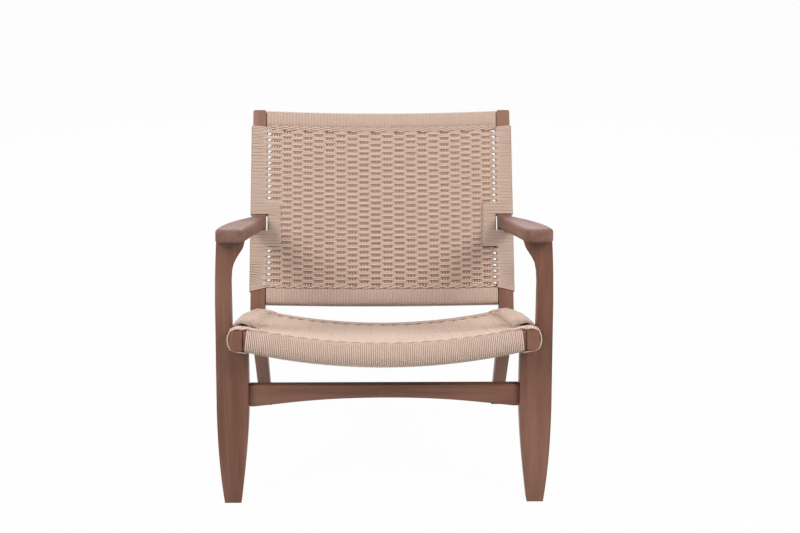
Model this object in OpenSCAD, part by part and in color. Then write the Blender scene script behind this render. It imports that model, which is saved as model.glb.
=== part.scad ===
// Low lounge armchair: a wooden frame with a woven paper-cord seat and back.
// Millimetres, +Z up. The front faces -Y, and the floor is Z = 0.

/* [Overall] */
// Width over the front legs, the widest place
overall_w = 712; // [690:1:740]
// Height of the side rail's top edge at its front end
seat_h = 408; // [390:1:430]
// Height of the armrest's underside at its front tip
arm_h = 595; // [580:1:620]

/* [Front legs] */
// Width of the board below the seat
leg_w = 68.5; // [64:0.5:76]
// Width of the leg above the seat
leg_upper_w = 33; // [30:0.5:36]
// Width of the flared head under the armrest
leg_head_w = 56; // [50:1:62]
// Width of the foot
leg_foot_w = 35.5; // [30:0.5:42]
// Front-to-back depth of the leg
leg_d = 44; // [38:1:50]
// Front-to-back depth of the foot
leg_foot_d = 34; // [28:1:40]
// How far the outer edge draws in at the foot
foot_inset = 12; // [8:1:18]
// How far the outer edge draws in at the armrest
head_inset = 10.5; // [6:0.5:14]

/* [Seat frame] */
// Slope of the seat down towards the back, in degrees
seat_slope = 13.4; // [11:0.1:15]
// Side rail behind the stile's front face
rail_tail = 43; // [40:1:60]
// Thickness of a side rail
rail_w = 31; // [28:0.5:34]
// Depth of a side rail from top to bottom
rail_h = 41; // [36:1:44]
// Length of side rail that stands ahead of the leg
rail_nose = 44; // [36:1:50]
// How deep a side rail is let into the leg
rail_let_in = 1.5; // [1:0.5:4]
// How far each side rail toes in, in degrees
rail_toe = 1.4; // [0.8:0.1:1.6]
// Rounding of the rails' long edges
edge_r = 6; // [3:0.5:8]
// Rounding of the side rails' outer long edges
rail_round = 12; // [6:0.5:15]
// Radius of the dip of the front and rear rails
seat_bow_r = 1310; // [1150:10:1600]
// Front-to-back thickness of the front and rear rails
cross_rail_t = 27; // [24:1:30]
// From the rail's front end to the back of the seat's rear rail
seat_depth = 510; // [480:1:560]

/* [Back frame] */
// Lean of the back from upright, in degrees
back_angle = 25; // [22:0.5:27]
// Between the seat's rear rail and the stile, along the side rail
stile_gap = 9; // [8:0.5:16]
// Length of a stile along its front face
stile_len = 485; // [460:5:510]
// Front-to-back thickness of a stile
stile_t = 28; // [25:1:32]
// Width of a stile at its top
stile_top_w = 31; // [27:0.5:34]
// Width of a stile at its foot
stile_foot_w = 35; // [31:0.5:38]
// How far a stile's inner face stands proud of the side rail's
stile_proud = 3; // [0:0.5:4]
// Radius of the hollow of the two back rails
back_bow_r = 1409; // [1250:10:1700]
// Thickness of the back rails from front to back
back_rail_t = 22; // [18:1:24]
// Height of the back rails
back_rail_h = 33; // [28:1:38]
// Height of the lower back rail's bottom edge above the stile's foot
back_rail_low = 18; // [14:1:24]

/* [Armrests] */
// Slope of the armrest down towards the back, in degrees
arm_slope = 12.5; // [11:0.1:13.5]
// Thickness of the armrest
arm_t = 28; // [24:1:32]
// How far the armrest's tip stands ahead of the leg
arm_nose = 36; // [28:1:44]
// Rounding of the armrest's long edges
arm_round = 7; // [4:0.5:9]

/* [Front stretcher] */
// Height of the stretcher's top edge
stretcher_top = 268; // [256:0.5:286]
// Height of the stretcher at its ends
stretcher_end_h = 48; // [42:0.5:56]
// Height of the stretcher at its middle
stretcher_mid_h = 29; // [25:0.5:38]
// Thickness of the stretcher
stretcher_t = 20; // [16:1:24]
// Setback of the stretcher behind the front of the legs
stretcher_back = 10; // [6:1:16]

/* [Rear legs] */
// Length of leg along the underside of the side rail
rear_head_l = 60; // [54:1:64]
// Distance from the rail's rear end to the leg
rear_head_back = 9; // [5:1:14]
// Front-to-back depth of the rear foot
rear_foot_d = 30; // [26:1:34]
// Lean of the rear legs from upright
rear_lean = 25.7; // [22:0.1:29]
// Width of the rear leg's head
rear_head_w = 32; // [28:1:34]
// Width of the rear foot
rear_foot_w = 28.5; // [24:0.5:31]
// How far the rear leg's inner face draws in down to the foot
rear_foot_in = 5; // [0:0.5:16]

/* [Joints] */
// Play of a tenon or a dowel in its hole, all round
fit_gap = 0.15; // [0.1:0.05:0.3]
// Length of the rails' tenons
tenon_l = 18; // [14:1:20]
// Thickness of the rails' tenons
tenon_t = 10; // [8:1:12]
// Diameter of the dowels
dowel_d = 8; // [6:0.5:9]
// Length of the dowels
dowel_l = 36; // [28:1:38]
// Diameter of the armrest bolt
bolt_d = 6; // [5:1:8]
// Length of the armrest bolt's shank
bolt_l = 62; // [58:1:70]
// Diameter of the barrel nut
nut_d = 10; // [10:0.5:13]
// Diameter of the rail screws
screw_d = 5; // [4:0.5:6]

/* [Weaving bars] */
// Middle of the bar below the middle of the armrest's end, along the stile
bar_drop = 4.7; // [2:0.1:8]
// Length of the bar
bar_l = 101; // [96:1:108]
// Width of the bar
bar_w = 21; // [16:1:24]
// Slot between the bar and the stile
bar_slot = 10.5; // [9:0.5:14]
// Length of each of the bar's feet
bar_foot_l = 15; // [12:1:18]

/* [Paper cord] */
// Thickness of the wound cord
cord_t = 3.2; // [2.8:0.1:3.6]
// Play between the cord and the wood
cord_gap = 0.3; // [0.3:0.1:0.5]
// Thickness of the woven panels
weave_t = 7; // [6:0.5:8]
// Width of wood left bare on each side of the armrest's end
bare_margin = 4; // [3:0.5:8]

/* [Hidden] */

wood = [0.49, 0.36, 0.31];
cord = [0.84, 0.74, 0.66];
steel = [0.70, 0.70, 0.72];

half_w = overall_w / 2;
stile_at = seat_depth + stile_gap;
rail_len = stile_at + rail_tail;
// The leg's outer edge draws in this far beside the seat
leg_waist = 2.5;
leg_upper_x = half_w - leg_waist - leg_upper_w;
// Centre line of a side rail at its front end, and its inner face at the stile
rail_x = leg_upper_x + rail_let_in - rail_w / 2 + (rail_nose + leg_d / 2) * tan(rail_toe);
stile_x = rail_x - rail_w / 2 - stile_at * tan(rail_toe) - stile_proud;
rear_foot_x = stile_x - rear_foot_in;
big = 900;
eps = 0.01;
arc_fn = 480;

// Seat frame: its origin is the top of a side rail's front end, Y runs back along the rail.
seat_y = -rail_nose * cos(seat_slope);
rear_foot_y = seat_y + rail_len * cos(seat_slope)
  + (seat_h - rail_len * sin(seat_slope) - rail_h) * tan(rear_lean);

// Back frame: its origin is the foot of the stile's front face, Z runs up the stile.
back_y = seat_y + stile_at * cos(seat_slope);
back_z = seat_h - stile_at * sin(seat_slope);
back_rail_y = (stile_t - back_rail_t) / 2;
back_rail_high = stile_len - cord_t - cord_gap - back_rail_h;

// Armrest frame: its origin is the underside of the tip, Y runs back along the armrest.
arm_len = ((back_y + arm_nose) * cos(back_angle) + (arm_h - back_z) * sin(back_angle))
  / cos(back_angle - arm_slope);
arm_low = (arm_h - arm_len * sin(arm_slope) - back_z) / cos(back_angle);
arm_high = arm_low + arm_t / cos(back_angle - arm_slope);
arm_end_w = stile_top_w + 1;

// Foremost place of the front rail's cord, rearmost place of the back's, and the middle between.
seat_dip = seat_bow_r - sqrt(pow(seat_bow_r, 2) - pow(front_rail_reach(), 2));
back_sag = back_bow_r - sqrt(pow(back_bow_r, 2) - pow(stile_x, 2));
front_y = seat_y + edge_r * cos(seat_slope) - (seat_dip + rail_h - edge_r) * sin(seat_slope)
  - edge_r - cord_gap - cord_t;
rear_y = back_y + (back_rail_y + back_sag + back_rail_t - edge_r) * cos(back_angle)
  + (back_rail_high + back_rail_h - edge_r) * sin(back_angle) + edge_r + cord_gap + cord_t;
mid_y = (front_y + rear_y) / 2;

// ---- helpers

// Points of a cubic curve through the first and the last of four points.
function curve(p, n = 8) = [
  for (i = [0:n]) let (t = i / n, s = 1 - t)
    s * s * s * p[0] + 3 * s * s * t * p[1] + 3 * s * t * t * p[2] + t * t * t * p[3]
];

// Everything paired is modelled on the +X side and mirrored to the left.
module on_side(side) {
  if (side == "left") mirror([1, 0, 0]) children();
  else children();
}

module on_both() {
  children();
  mirror([1, 0, 0]) children();
}

module in_seat() translate([0, seat_y, seat_h]) rotate([-seat_slope, 0, 0]) children();

module in_rail() in_seat() translate([rail_x, 0, 0]) rotate([0, 0, rail_toe]) children();

module in_back() translate([0, back_y, back_z]) rotate([-back_angle, 0, 0]) children();

module in_arm() translate([0, -arm_nose, arm_h]) rotate([-arm_slope, 0, 0]) children();

// A rectangle with true arcs at its corners, its low corner at the origin.
module rounded_rect(w, h, r) {
  translate([r, 0]) square([w - 2 * r, h]);
  translate([0, r]) square([w, h - 2 * r]);
  for (x = [r, w - r], y = [r, h - r]) translate([x, y]) circle(r = r, $fn = 48);
}

// Section of a side rail, grown all round: its outer edges are rounder than its inner ones.
module rail_section(grow = 0) {
  h = rail_h + 2 * grow;
  translate([-rail_w / 2, -rail_h]) intersection() {
    translate([-grow, -grow]) rounded_rect(rail_w + 2 * grow, h, edge_r + grow);
    translate([-rail_w, -grow]) rounded_rect(2 * rail_w + grow, h, rail_round + grow);
  }
}

// A closed band: a rounded rectangle grown by the cord, less the same grown by the play.
module band(w, h, r) {
  outer = cord_gap + cord_t;
  difference() {
    translate([-outer, -outer]) rounded_rect(w + 2 * outer, h + 2 * outer, r + outer);
    translate([-cord_gap, -cord_gap])
      rounded_rect(w + 2 * cord_gap, h + 2 * cord_gap, r + cord_gap);
  }
}

// Turns a section (depth across, front to back up) along the dip of the seat.
module seat_bow(reach) {
  half = asin(reach / seat_bow_r);
  translate([0, 0, seat_bow_r - seat_dip]) rotate([-90, 0, 0]) rotate([0, 0, 90 - half])
    rotate_extrude(angle = 2 * half, $fn = arc_fn) translate([seat_bow_r, 0]) children();
}

// Turns a section (thickness across, height up) along the hollow of the back.
module back_bow(reach) {
  half = asin(reach / back_bow_r);
  translate([0, back_sag - back_bow_r, 0]) rotate([0, 0, 90 - half])
    rotate_extrude(angle = 2 * half, $fn = arc_fn) translate([back_bow_r, 0]) children();
}

// Half the clear width between the side rails at a distance along the seat.
function seat_half(y) = rail_x - rail_w / 2 - y * tan(rail_toe);
function front_rail_reach() = seat_half(cross_rail_t / 2);

// Outer edge of the tapered stile at a height above its foot.
function stile_outer(z) = stile_x + stile_foot_w - (stile_foot_w - stile_top_w) * z / stile_len;

// ---- front legs

rail_under = rail_h / cos(seat_slope);
shoulder_z = seat_h - rail_nose * sin(seat_slope) - rail_under + 1;
leg_top_z = arm_h + 20;

module leg_front_outline() {
  knee_x = half_w - leg_w;
  head_x = half_w - head_inset - leg_head_w;
  foot_x = half_w - foot_inset - leg_foot_w;
  head_z = arm_h - 11;
  flare_z = 94;
  polygon(concat(
    curve([[half_w - foot_inset, 0], [half_w - 5.5, seat_h * 0.12], [half_w, seat_h * 0.29],
      [half_w, seat_h * 0.53]]),
    curve([[half_w - 2, arm_h * 0.67], [half_w - leg_waist, arm_h * 0.81], [half_w - 5, arm_h * 0.92],
      [half_w - head_inset, leg_top_z]]),
    [[head_x, leg_top_z]],
    curve([[head_x, head_z], [head_x + 2.5, head_z - 22], [leg_upper_x - 1, head_z - 28],
      [leg_upper_x, head_z - flare_z]]),
    [[leg_upper_x, shoulder_z], [knee_x, shoulder_z]],
    curve([[knee_x, seat_h * 0.61], [knee_x + 0.5, seat_h * 0.42], [knee_x + 10, seat_h * 0.21], [foot_x, 0]])
  ));
}

module leg_side_outline() {
  heel = leg_d - 6;
  toe = heel - leg_foot_d;
  polygon(concat(
    curve([[toe, 0], [toe - 2.5, seat_h * 0.15], [0, seat_h * 0.27], [0, seat_h * 0.47]], 6),
    [[0, leg_top_z], [leg_d - 2, leg_top_z]],
    curve([[leg_d, seat_h * 0.88], [leg_d, seat_h * 0.47], [heel + 3, seat_h * 0.17], [heel, 0]], 6)
  ));
}

// Tenon on the leg's head, in the armrest frame.
module leg_tenon(gap = 0) {
  w = leg_upper_w - 8;
  d = leg_d - 18;
  h = arm_t * 0.6;
  translate([half_w - head_inset - leg_head_w / 2 - w / 2 - gap, arm_nose + 8 - gap, -5])
    cube([w + 2 * gap, d + 2 * gap, h + 5 + gap]);
}

// The notch that the side rail is let into, open towards the chair's middle.
module rail_notch() translate([rail_w / 2 - big, 0, -rail_h]) cube([big, big, rail_h]);

module front_leg() {
  color(wood) difference() {
    union() {
      difference() {
        intersection() {
          translate([0, big, 0]) rotate([90, 0, 0]) linear_extrude(2 * big) leg_front_outline();
          rotate([90, 0, 90]) linear_extrude(big) leg_side_outline();
        }
        in_arm() translate([0, -big / 2, 0]) cube(big);
      }
      in_arm() leg_tenon();
    }
    in_rail() rail_notch();
    at_rail_screws() rail_screw(fit_gap);
    stretcher_tenon(fit_gap);
  }
}

// ---- front stretcher

stretcher_x = half_w - leg_w;
module stretcher_tenon(gap = 0) {
  h = stretcher_end_h - 16;
  t = stretcher_t - 8;
  translate([stretcher_x - 12, stretcher_back + 4 - gap, stretcher_top - stretcher_end_h + 8 - gap])
    cube([12 + 24 + gap, t + 2 * gap, h + 2 * gap]);
}

module stretcher() {
  rise = stretcher_end_h - stretcher_mid_h;
  low = stretcher_top - stretcher_end_h;
  shoulder = 12;
  color(wood) {
    translate([0, stretcher_back + stretcher_t, 0]) rotate([90, 0, 0]) linear_extrude(stretcher_t)
      polygon(concat(
        [[-stretcher_x, stretcher_top - 2], [-stretcher_x, low + 2], [-stretcher_x + 2, low],
          [-stretcher_x + shoulder, low]],
        curve([[-stretcher_x + shoulder, low], [-stretcher_x * 0.62, low + rise * 0.62],
          [-stretcher_x * 0.4, low + rise], [0, low + rise]], 10),
        curve([[0, low + rise], [stretcher_x * 0.4, low + rise],
          [stretcher_x * 0.62, low + rise * 0.62], [stretcher_x - shoulder, low]], 10),
        [[stretcher_x - 2, low], [stretcher_x, low + 2], [stretcher_x, stretcher_top - 2],
          [stretcher_x - 2, stretcher_top], [-stretcher_x + 2, stretcher_top]]
      ));
    for (side = ["left", "right"]) on_side(side) intersection() {
      stretcher_tenon();
      translate([stretcher_x - 1, 0, 0]) cube([24 - fit_gap, big, big]);
    }
  }
}

// ---- seat rails

// A screw lies across the side rail, its head sunk in the rail's inner face.
screw_head_h = 3.5;
screw_l = rail_w + 0.6 * leg_upper_w;
module rail_screw(gap = 0) {
  rotate([0, 90, 0]) translate([0, 0, -gap]) {
    cylinder(d = screw_d + 2 * gap, h = screw_l + 2 * gap, $fn = 24);
    cylinder(d = 2 * screw_d + 2 * gap, h = screw_head_h + gap, $fn = 24);
  }
}

module at_rail_screws() {
  in_rail() {
    translate([-rail_w / 2, rail_nose + leg_d * 0.36, -rail_h * 0.62]) children();
    translate([-rail_w / 2, rail_nose + leg_d * 0.82, -rail_h * 0.38]) children();
  }
}

// Straight tenon of a cross rail, in the seat frame; place is the distance from the front.
module cross_tenon(place, gap = 0) {
  h = rail_h * 0.5;
  x = seat_half(place);
  translate([x - 10, place - tenon_t / 2 - gap, -rail_h * 0.82 - gap])
    cube([10 + tenon_l + gap, tenon_t + 2 * gap, h + 2 * gap]);
}

front_place = cross_rail_t / 2;
rear_place = seat_depth - cross_rail_t / 2;

// Everything outside the inner face of the side rails, less a gap.
module beyond_side_rails(gap = 0) {
  on_both() translate([rail_x, 0, 0]) rotate([0, 0, rail_toe])
    translate([-rail_w / 2 - gap, -big, -big]) cube(2 * big);
}

module cross_rail(place) {
  reach = seat_half(place);
  color(wood) in_seat() {
    difference() {
      translate([0, place - cross_rail_t / 2, 0])
        seat_bow(reach + 6) rounded_rect(rail_h, cross_rail_t, edge_r);
      beyond_side_rails();
    }
    on_both() intersection() {
      cross_tenon(place);
      translate([0, 0, -big / 2]) cube([reach + tenon_l - fit_gap, big, big]);
    }
  }
}

module side_rail() {
  nose_r = 9;
  tail_r = 14;
  color(wood) difference() {
    in_rail() intersection() {
      translate([0, rail_len, 0]) rotate([90, 0, 0]) linear_extrude(rail_len) rail_section();
      translate([-rail_w / 2, 0, -rail_h]) linear_extrude(rail_h)
        rounded_rect(rail_w, rail_len + nose_r, nose_r);
      translate([-rail_w / 2, 0, -rail_h]) rotate([90, 0, 90]) linear_extrude(rail_w)
        translate([-tail_r, 0]) rounded_rect(rail_len + tail_r, rail_h, tail_r);
    }
    in_seat() for (place = [front_place, rear_place]) cross_tenon(place, fit_gap);
    at_rail_screws() rail_screw(fit_gap);
    at_leg_dowels() dowel(fit_gap);
    at_stile_dowels() dowel(fit_gap);
  }
}

// ---- dowels

// A dowel stands across a joint, half on each side of it.
module dowel(gap = 0) {
  l = dowel_l + 4 * gap;
  translate([0, 0, -l / 2]) cylinder(d = dowel_d + 2 * gap, h = l, $fn = 32);
}

module at_leg_dowels() {
  head_start = rail_len - rear_head_back - rear_head_l;
  in_seat() for (share = [0.45, 0.8])
    translate([stile_x + rear_head_w / 2, head_start + share * rear_head_l, -rail_h]) children();
}

module at_stile_dowels() {
  in_back() {
    for (share = [[0.32, 0.3], [0.7, 0.7]]) {
      y = stile_t * share[1];
      translate([stile_x + stile_foot_w * share[0], y, y * tan(back_angle - seat_slope)])
        children();
    }
  }
}

// ---- rear legs

module rear_leg() {
  function under(d) = [seat_y + d * cos(seat_slope) - rail_h * sin(seat_slope),
    seat_h - d * sin(seat_slope) - rail_h * cos(seat_slope)];
  head_end = rail_len - rear_head_back;
  front = under(head_end - rear_head_l);
  back = under(head_end);
  toe = rear_foot_y - rear_foot_d;
  color(wood) difference() {
    intersection() {
      rotate([90, 0, 90]) linear_extrude(big) polygon(concat(
        curve([front, front + seat_h * [0.059, -0.083], [toe - 56, seat_h * 0.225], [toe, 0]]),
        curve([[rear_foot_y, 0], [rear_foot_y - 54, seat_h * 0.24],
          back + seat_h * [0.054, -0.108], back])
      ));
      translate([0, big, 0]) rotate([90, 0, 0]) linear_extrude(big) polygon([
        [rear_foot_x, 0], [rear_foot_x + rear_foot_w, 0],
        [stile_x + rear_head_w, front[1]], [stile_x, front[1]]
      ]);
    }
    at_leg_dowels() dowel(fit_gap);
  }
}

// ---- back frame

// Straight tenon of a back rail; low is the rail's bottom edge.
module back_tenon(low, gap = 0) {
  t = tenon_t * 0.8;
  translate([stile_x - 8, stile_t / 2 - t / 2 - gap, low + 6 - gap])
    cube([8 + tenon_l + gap, t + 2 * gap, back_rail_h - 12 + 2 * gap]);
}

module back_rail(low) {
  color(wood) in_back() {
    intersection() {
      back_bow(stile_x + 6) translate([back_rail_y, low])
        rounded_rect(back_rail_t, back_rail_h, edge_r);
      translate([-stile_x, -big / 2, 0]) cube([2 * stile_x, big, big]);
    }
    on_both() intersection() {
      back_tenon(low);
      translate([stile_x - 8, 0, 0]) cube([8 + tenon_l - fit_gap, big, big]);
    }
  }
}

module stile() {
  crown = 3;
  color(wood) difference() {
    in_back() translate([0, stile_t, 0]) rotate([90, 0, 0]) linear_extrude(stile_t) polygon([
      [stile_x, 0], [stile_x + stile_foot_w, 0],
      [stile_outer(stile_len - crown), stile_len - crown],
      [stile_outer(stile_len) - crown, stile_len],
      [stile_x + crown, stile_len], [stile_x, stile_len - crown]
    ]);
    in_seat() translate([0, 0, -big]) cube(big);
    in_back() for (low = [back_rail_low, back_rail_high]) back_tenon(low, fit_gap);
    at_stile_dowels() dowel(fit_gap);
    at_arm_bolt() arm_bolt(fit_gap);
    at_bar_screws() bar_screw(fit_gap);
  }
}

// ---- weaving bars

bar_low = (arm_low + arm_high) / 2 - bar_drop - bar_l / 2;
bar_x = stile_x - bar_slot - bar_w;
bar_t = back_rail_t;
bar_screw_d = 4;

module bar_screw(gap = 0) {
  rotate([0, 90, 0]) translate([0, 0, -gap]) {
    cylinder(d = bar_screw_d + 2 * gap, h = bar_w + bar_slot + stile_t / 2 + 2 * gap, $fn = 24);
    cylinder(d = 2 * bar_screw_d + 2 * gap, h = 3 + gap, $fn = 24);
  }
}

module at_bar_screws() {
  in_back() for (z = [bar_low + bar_foot_l / 2, bar_low + bar_l - bar_foot_l / 2])
    translate([bar_x, stile_t / 2, z]) children();
}

module weaving_bar() {
  y = (stile_t - bar_t) / 2;
  color(wood) difference() {
    in_back() translate([0, y + bar_t, 0]) rotate([90, 0, 0]) linear_extrude(bar_t) {
      translate([bar_x, bar_low]) square([bar_w, bar_l]);
      for (z = [bar_low, bar_low + bar_l - bar_foot_l])
        translate([bar_x, z]) square([bar_w + bar_slot, bar_foot_l]);
    }
    at_bar_screws() bar_screw(fit_gap);
  }
}

// ---- armrests

// Plan of the armrest in its own frame, drawn in all round by an inset.
module arm_outline(inset = 0) {
  out_x = half_w - 5;
  in_x = out_x - 62;
  end_y = arm_len + 24;
  offset(delta = -inset) polygon(concat(
    curve([[stile_x, end_y], [in_x - 7, arm_len * 0.67], [in_x - 3, arm_len * 0.25], [in_x, 30]], 6),
    curve([[in_x, 30], [in_x + 0.5, 10], [in_x + 6, 0], [in_x + 18, 0]], 4),
    curve([[out_x - 22, 0], [out_x - 10, 0], [out_x - 4.5, 8], [out_x - 3, 24]], 4),
    curve([[out_x - 3, 24], [out_x + 3, arm_len * 0.25], [out_x - 3.4, arm_len * 0.67],
      [stile_x + arm_end_w, end_y]], 10)
  ));
}

module armrest() {
  steps = 3;
  color(wood) difference() {
    in_arm() hull() for (i = [0:steps]) {
      a = 90 * i / steps;
      low_r = arm_round * 0.6;
      translate([0, 0, low_r * (1 - cos(a))]) linear_extrude(eps)
        arm_outline(low_r * (1 - sin(a)));
      translate([0, 0, arm_t - arm_round * (1 - cos(a)) - eps]) linear_extrude(eps)
        arm_outline(arm_round * (1 - sin(a)));
    }
    in_back() translate([0, 0, -big / 2]) cube(big);
    in_arm() leg_tenon(fit_gap);
    at_arm_bolt() arm_bolt(fit_gap);
    at_arm_bolt() barrel_nut(fit_gap);
  }
}

// The bolt's frame: its origin is where the bolt crosses the joint, Z runs forward along it.
bolt_head_h = 5;
bolt_back = stile_t / cos(back_angle - arm_slope) - bolt_head_h - 3;
nut_at = bolt_l - bolt_back - 12;

module at_arm_bolt() {
  joint_y = arm_len + arm_t / 2 * tan(back_angle - arm_slope);
  in_arm() translate([stile_x + stile_foot_w / 2, joint_y, arm_t / 2]) rotate([90, 0, 0]) children();
}

module arm_bolt(gap = 0) {
  head_reach = gap > 0 ? stile_t : bolt_head_h;
  translate([0, 0, -bolt_back]) cylinder(d = bolt_d + 2 * gap, h = bolt_l + 2 * gap, $fn = 32);
  translate([0, 0, -bolt_back - head_reach])
    cylinder(d = 2 * bolt_d + 2 * gap, h = head_reach, $fn = 32);
}

nut_l = arm_t * 0.75;
module barrel_nut(gap = 0) {
  below = gap > 0 ? 6 : 0;
  translate([0, 2 - arm_t / 2 - below, nut_at]) rotate([-90, 0, 0])
    cylinder(d = nut_d + 2 * gap, h = nut_l + below + gap, $fn = 32);
}

// ---- paper cord

cord_out = cord_gap + cord_t;

module seat_wrap(place) {
  color(cord) in_seat() difference() {
    translate([0, place - cross_rail_t / 2, 0])
      seat_bow(seat_half(place) + 6) band(rail_h, cross_rail_t, edge_r);
    beyond_side_rails(cord_gap);
  }
}

// Cord round a side rail between two places; beyond a third place the rail's inner face is bare.
module side_band(start, end, bare_from) {
  color(cord) in_rail() difference() {
    translate([0, end, 0]) rotate([90, 0, 0]) linear_extrude(end - start) difference() {
      rail_section(cord_out);
      rail_section(cord_gap);
    }
    translate([-big - rail_w / 2 + cord_gap, bare_from, -big / 2]) cube(big);
  }
}

module corner_wrap() side_band(5, rail_nose - 2, 0);

side_start = rail_nose + leg_d / cos(seat_slope) + (rail_h + cord_out) * tan(seat_slope) + 1;
side_end = seat_depth - cross_rail_t - cord_out - cord_gap;

module side_wrap() side_band(side_start, seat_depth + cord_out, side_end);

module seat_weave() {
  start = cross_rail_t + cord_out + cord_gap;
  margin = cord_out + cord_gap;
  color(cord) in_seat() intersection() {
    translate([0, start, 0]) seat_bow(seat_half(start)) translate([-cord_out, 0])
      square([weave_t, side_end - start]);
    translate([0, 0, -big / 2]) linear_extrude(big) polygon([
      [-seat_half(start) + margin, start], [seat_half(start) - margin, start],
      [seat_half(side_end) - margin, side_end], [-seat_half(side_end) + margin, side_end]
    ]);
  }
}

module back_rail_wrap(low) {
  reach = stile_x - cord_gap;
  color(cord) in_back() intersection() {
    back_bow(stile_x + 6) translate([back_rail_y, low]) band(back_rail_t, back_rail_h, edge_r);
    translate([-reach, -big / 2, -big / 2]) cube([2 * reach, big, 2 * big]);
  }
}

// Extrudes an outline of width and height through a depth that starts at a place.
module upright(depth, start = 0) {
  translate([0, start + depth, 0]) rotate([90, 0, 0]) linear_extrude(depth) children();
}

weave_low = back_rail_low + back_rail_h + cord_out + cord_gap;
weave_high = back_rail_high - cord_out - cord_gap;
span_low = bar_low - cord_out;
span_high = bar_low + bar_l + cord_out;
bare_low = arm_low - bare_margin;
bare_high = arm_high + bare_margin;

// Seen from the front: the stile from near to far, with the bar beside it from near to span.
function cord_outline(near, far, span, grow) = [
  [bar_x - grow, near], [stile_outer(near) + grow, near], [stile_outer(far) + grow, far],
  [stile_x - grow, far], [stile_x - grow, span], [bar_x - grow, span]
];

// Cord round a stile and round the bar beside it; away is 1 above the armrest, -1 below it.
module stile_cord(near, far, bar_end, away) {
  color(cord) in_back() difference() {
    upright(stile_t + 2 * cord_out, -cord_out)
      polygon(cord_outline(near, far, bar_end + away * cord_out, cord_out));
    upright(stile_t + 2 * cord_gap, -cord_gap)
      polygon(cord_outline(near - away, far + away, bar_end + away * cord_gap, cord_gap));
  }
}

module upper_wrap() stile_cord(bare_high, weave_high, bar_low + bar_l, 1);

module lower_wrap() stile_cord(bare_low, weave_low, bar_low, -1);

module bar_wrap() {
  low = bare_low + cord_gap;
  high = bare_high - cord_gap;
  y = (stile_t - bar_t) / 2;
  color(cord) in_back() translate([bar_x, y, low]) linear_extrude(high - low)
    band(bar_w, bar_t, 0);
}

module back_weave() {
  wide = stile_x - cord_out - cord_gap;
  slim = bar_x - cord_out - cord_gap;
  side = [
    [wide, weave_low], [wide, span_low - cord_gap], [slim, span_low - cord_gap],
    [slim, span_high + cord_gap], [wide, span_high + cord_gap], [wide, weave_high]
  ];
  color(cord) in_back() intersection() {
    back_bow(wide) translate([back_rail_y - cord_out, weave_low])
      square([weave_t, weave_high - weave_low]);
    upright(big, -big / 2)
      polygon(concat(side, [for (i = [len(side) - 1:-1:0]) [-side[i][0], side[i][1]]]));
  }
}

// ---- the pieces in their places, the origin under the middle of the chair

module placed(side = "right") translate([0, -mid_y, 0]) on_side(side) children();

module placed_pair() translate([0, -mid_y, 0]) on_both() children();

module front_leg_left() placed("left") front_leg();
module front_leg_right() placed() front_leg();
module rear_leg_left() placed("left") rear_leg();
module rear_leg_right() placed() rear_leg();
module seat_side_rail_left() placed("left") side_rail();
module seat_side_rail_right() placed() side_rail();
module seat_front_rail() placed() cross_rail(front_place);
module seat_rear_rail() placed() cross_rail(rear_place);
module back_stile_left() placed("left") stile();
module back_stile_right() placed() stile();
module back_top_rail() placed() back_rail(back_rail_high);
module back_bottom_rail() placed() back_rail(back_rail_low);
module armrest_left() placed("left") armrest();
module armrest_right() placed() armrest();
module front_stretcher() placed() stretcher();
module weaving_bar_left() placed("left") weaving_bar();
module weaving_bar_right() placed() weaving_bar();
module rear_leg_dowels() color(wood) placed_pair() at_leg_dowels() dowel();
module stile_dowels() color(wood) placed_pair() at_stile_dowels() dowel();
module rail_screws() color(steel) placed_pair() at_rail_screws() rail_screw();
module bar_screws() color(steel) placed_pair() at_bar_screws() bar_screw();
module armrest_bolts() color(steel) placed_pair() at_arm_bolt() arm_bolt();
module armrest_barrel_nuts() color(steel) placed_pair() at_arm_bolt() difference() {
  barrel_nut();
  arm_bolt(fit_gap);
}
module seat_front_wrap() placed() seat_wrap(front_place);
module seat_rear_wrap() placed() seat_wrap(rear_place);
module seat_left_wrap() placed("left") side_wrap();
module seat_right_wrap() placed() side_wrap();
module seat_left_corner_wrap() placed("left") corner_wrap();
module seat_right_corner_wrap() placed() corner_wrap();
module seat_panel() placed() seat_weave();
module back_top_wrap() placed() back_rail_wrap(back_rail_high);
module back_bottom_wrap() placed() back_rail_wrap(back_rail_low);
module back_left_upper_wrap() placed("left") upper_wrap();
module back_right_upper_wrap() placed() upper_wrap();
module back_left_lower_wrap() placed("left") lower_wrap();
module back_right_lower_wrap() placed() lower_wrap();
module bar_left_wrap() placed("left") bar_wrap();
module bar_right_wrap() placed() bar_wrap();
module back_panel() placed() back_weave();

front_leg_left();
front_leg_right();
rear_leg_left();
rear_leg_right();
seat_side_rail_left();
seat_side_rail_right();
seat_front_rail();
seat_rear_rail();
back_stile_left();
back_stile_right();
back_top_rail();
back_bottom_rail();
armrest_left();
armrest_right();
front_stretcher();
weaving_bar_left();
weaving_bar_right();
rear_leg_dowels();
stile_dowels();
rail_screws();
bar_screws();
armrest_bolts();
armrest_barrel_nuts();
seat_front_wrap();
seat_rear_wrap();
seat_left_wrap();
seat_right_wrap();
seat_left_corner_wrap();
seat_right_corner_wrap();
seat_panel();
back_top_wrap();
back_bottom_wrap();
back_left_upper_wrap();
back_right_upper_wrap();
back_left_lower_wrap();
back_right_lower_wrap();
bar_left_wrap();
bar_right_wrap();
back_panel();
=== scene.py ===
"""Low wooden lounge armchair with a woven paper-cord seat and back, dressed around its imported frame.

Metres, +Z up, the chair faces -Y. X is the chair's width, and everything paired is made for
the +X side first and mirrored.
"""

import math

import bpy
import numpy as np
from mathutils import Matrix, Vector


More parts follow.
